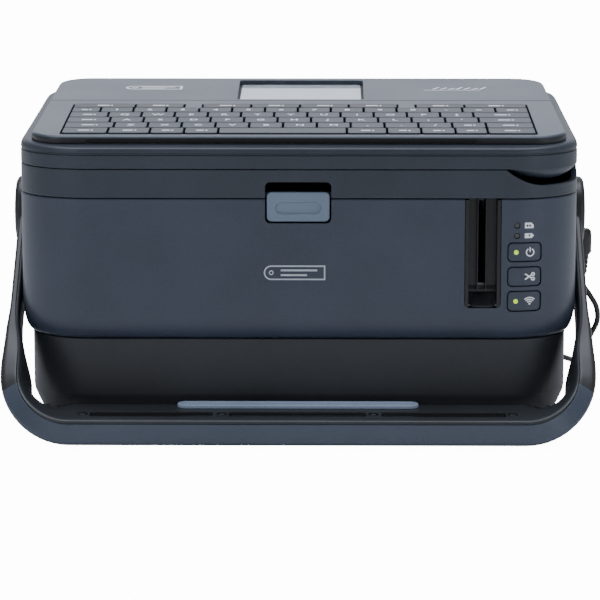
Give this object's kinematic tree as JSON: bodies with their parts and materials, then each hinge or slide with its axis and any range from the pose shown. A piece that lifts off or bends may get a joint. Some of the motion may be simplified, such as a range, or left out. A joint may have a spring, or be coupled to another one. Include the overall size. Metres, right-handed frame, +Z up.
{
  "type": "label maker",
  "caption": "Desktop label maker with a sloping keyboard and display on a hinged cover, a front tape chute with buttons, a folding carry handle and a power lead.",
  "frame": {"origin": "middle of the footprint, on the surface that the machine stands on, with the handle folded down and the power lead left out", "axes": "+Z up, +X towards the right-hand side seen from the front, the front faces -Y"},
  "size_m": [0.3107, 0.2871, 0.158],
  "materials": {
    "case_abs": "moulded ABS, fine spark texture",
    "base_abs": "moulded ABS, fine spark texture",
    "lid_abs": "moulded ABS, fine spark texture",
    "panel_abs": "moulded ABS, satin",
    "black_abs": "moulded ABS, satin black",
    "key_abs": "moulded keycap, satin",
    "function_key_abs": "moulded keycap, satin",
    "latch_abs": "moulded ABS, satin",
    "handle_abs": "moulded ABS, satin",
    "grip_rubber": "moulded elastomer",
    "black_rubber": "moulded rubber",
    "steel": "zinc-plated sheet and turned steel",
    "circuit_board": "solder-masked laminate",
    "acetal": "moulded acetal",
    "display_glass": "clear acrylic over a reflective display",
    "display_cell": "display cell",
    "lens_plastic": "smoked lens",
    "cassette_plastic": "moulded polystyrene",
    "tape": "laminated tape",
    "cord_vinyl": "extruded PVC"
  },
  "bodies": {
    "case": {"base_tray": "base_abs", "main_case": "case_abs", "storage_bin": "black_abs", "mechanism_frame": "black_abs", "tape_exit_chute": "black_abs", "metal_chassis": "steel", "print_head": "steel", "stepper_motor": "steel", "main_board": "circuit_board", "control_board": "circuit_board", "power_jack": "black_abs", "usb_socket": "steel", "rubber_feet": "black_rubber", "base_screws": "steel", "indicator_lenses": "lens_plastic", "cover_hinge_pin": "steel", "handle_trunnions": "steel", "cutter_frame": "steel", "cassette_case": "cassette_plastic", "cassette_lid": "cassette_plastic", "dc_plug": "black_rubber", "cord_tube": "cord_vinyl", "cord_coil": "cord_vinyl", "usb_plug": "black_rubber"},
    "cover": {"cover_frame": "lid_abs", "deck_hinge_pin": "steel"},
    "keyboard_deck": {"deck_shell": "lid_abs", "display_panel": "panel_abs", "keyboard_bezel": "panel_abs", "lcd_screen": "display_cell", "lcd_window": "display_glass", "keyboard_board": "circuit_board", "dome_mat": "black_rubber", "deck_screws": "steel"},
    "function_keys": {"function_keys": "function_key_abs"},
    "number_keys": {"number_keys": "key_abs"},
    "upper_letter_keys": {"upper_letter_keys": "key_abs"},
    "middle_letter_keys": {"middle_letter_keys": "key_abs"},
    "lower_letter_keys": {"lower_letter_keys": "key_abs"},
    "bottom_row_keys": {"bottom_row_keys": "key_abs"},
    "space_bar": {"space_bar": "key_abs"},
    "enter_key": {"enter_key": "key_abs"},
    "power_button": {"power_button": "panel_abs"},
    "cut_button": {"cut_button": "panel_abs"},
    "wireless_button": {"wireless_button": "panel_abs"},
    "latch_button": {"latch_button": "latch_abs"},
    "latch_lever": {"latch_lever": "black_abs"},
    "handle": {"handle_shell": "handle_abs", "handle_liner": "black_abs", "handle_hubs": "handle_abs", "handle_grip_strip": "grip_rubber", "handle_screws": "steel"},
    "motor_pinion": {"motor_pinion": "acetal"},
    "idler_gear": {"idler_gear": "acetal"},
    "platen": {"platen_gear": "acetal", "platen_shaft": "steel", "platen_roller": "black_rubber"},
    "ribbon_drive": {"ribbon_drive": "acetal"},
    "tape_roll": {"tape_roll": "tape"},
    "cutter_blade": {"cutter_blade": "steel"}
  },
  "joints": [
    {"name": "cover_hinge", "type": "hinge", "parent": "case", "child": "cover", "pos_m": [0, 0.1095, 0.1195], "axis": [-1, 0, 0], "range_deg": [0, 75]},
    {"name": "deck_hinge", "type": "hinge", "parent": "cover", "child": "keyboard_deck", "pos_m": [0, 0.1095, 0.1336], "axis": [-1, 0, 0], "range_deg": [0, 50]},
    {"name": "handle_pivot", "type": "hinge", "parent": "case", "child": "handle", "pos_m": [0, 0.017, 0.098], "axis": [-1, 0, 0], "range_deg": [0, 130]},
    {"name": "latch_press", "type": "slide", "parent": "case", "child": "latch_button", "axis": [0, 1, 0], "range_m": [0, 0.003], "stiffness_N_per_m": 400, "springref_m": -0.001},
    {"name": "latch_lever_turn", "type": "hinge", "parent": "case", "child": "latch_lever", "pos_m": [0, -0.063, 0.096], "axis": [-1, 0, 0], "range_deg": [0, 16]},
    {"name": "function_keys_press", "type": "slide", "parent": "keyboard_deck", "child": "function_keys", "axis": [0, 0.0671, -0.9977], "range_m": [0, 0.0018], "stiffness_N_per_m": 300, "springref_m": -0.001},
    {"name": "number_keys_press", "type": "slide", "parent": "keyboard_deck", "child": "number_keys", "axis": [0, 0.0671, -0.9977], "range_m": [0, 0.0018], "stiffness_N_per_m": 300, "springref_m": -0.001},
    {"name": "upper_letter_keys_press", "type": "slide", "parent": "keyboard_deck", "child": "upper_letter_keys", "axis": [0, 0.0671, -0.9977], "range_m": [0, 0.0018], "stiffness_N_per_m": 300, "springref_m": -0.001},
    {"name": "middle_letter_keys_press", "type": "slide", "parent": "keyboard_deck", "child": "middle_letter_keys", "axis": [0, 0.0671, -0.9977], "range_m": [0, 0.0018], "stiffness_N_per_m": 300, "springref_m": -0.001},
    {"name": "lower_letter_keys_press", "type": "slide", "parent": "keyboard_deck", "child": "lower_letter_keys", "axis": [0, 0.0671, -0.9977], "range_m": [0, 0.0018], "stiffness_N_per_m": 300, "springref_m": -0.001},
    {"name": "bottom_row_keys_press", "type": "slide", "parent": "keyboard_deck", "child": "bottom_row_keys", "axis": [0, 0.0671, -0.9977], "range_m": [0, 0.0018], "stiffness_N_per_m": 300, "springref_m": -0.001},
    {"name": "space_bar_press", "type": "slide", "parent": "keyboard_deck", "child": "space_bar", "axis": [0, 0.0671, -0.9977], "range_m": [0, 0.0018], "stiffness_N_per_m": 300, "springref_m": -0.001},
    {"name": "enter_key_press", "type": "slide", "parent": "keyboard_deck", "child": "enter_key", "axis": [0, 0.0671, -0.9977], "range_m": [0, 0.0018], "stiffness_N_per_m": 300, "springref_m": -0.001},
    {"name": "power_button_press", "type": "slide", "parent": "case", "child": "power_button", "axis": [0, 1, 0], "range_m": [0, 0.001], "stiffness_N_per_m": 300, "springref_m": -0.0005},
    {"name": "cut_button_press", "type": "slide", "parent": "case", "child": "cut_button", "axis": [0, 1, 0], "range_m": [0, 0.001], "stiffness_N_per_m": 300, "springref_m": -0.0005},
    {"name": "wireless_button_press", "type": "slide", "parent": "case", "child": "wireless_button", "axis": [0, 1, 0], "range_m": [0, 0.001], "stiffness_N_per_m": 300, "springref_m": -0.0005},
    {"name": "idler_spin", "type": "hinge", "parent": "case", "child": "idler_gear", "pos_m": [0.0975, -0.021, 0.0585], "axis": [0, 0, 1], "continuous": true},
    {"name": "pinion_spin", "type": "hinge", "parent": "case", "child": "motor_pinion", "pos_m": [0.0783, -0.021, 0.0585], "axis": [0, 0, 1], "continuous": true},
    {"name": "platen_spin", "type": "hinge", "parent": "case", "child": "platen", "pos_m": [0.0975, -0.045, 0.0585], "axis": [0, 0, 1], "continuous": true},
    {"name": "ribbon_spin", "type": "hinge", "parent": "case", "child": "ribbon_drive", "pos_m": [0.0975, 0.0054, 0.0585], "axis": [0, 0, 1], "continuous": true},
    {"name": "tape_roll_spin", "type": "hinge", "parent": "case", "child": "tape_roll", "pos_m": [0.063, -0.002, 0.09], "axis": [0, 0, 1], "continuous": true},
    {"name": "cutter_slide", "type": "slide", "parent": "case", "child": "cutter_blade", "axis": [-1, 0, 0], "range_m": [0, 0.006]}
  ],
  "couplings": [
    {"joint": "latch_lever_turn", "follows": "latch_press", "rad_per_m": 70},
    {"joint": "idler_spin", "follows": "tape_roll_spin", "ratio": 2.8889},
    {"joint": "pinion_spin", "follows": "tape_roll_spin", "ratio": -8.6667},
    {"joint": "platen_spin", "follows": "tape_roll_spin", "ratio": -4.3333},
    {"joint": "ribbon_spin", "follows": "tape_roll_spin", "ratio": -3.4667}
  ]
}
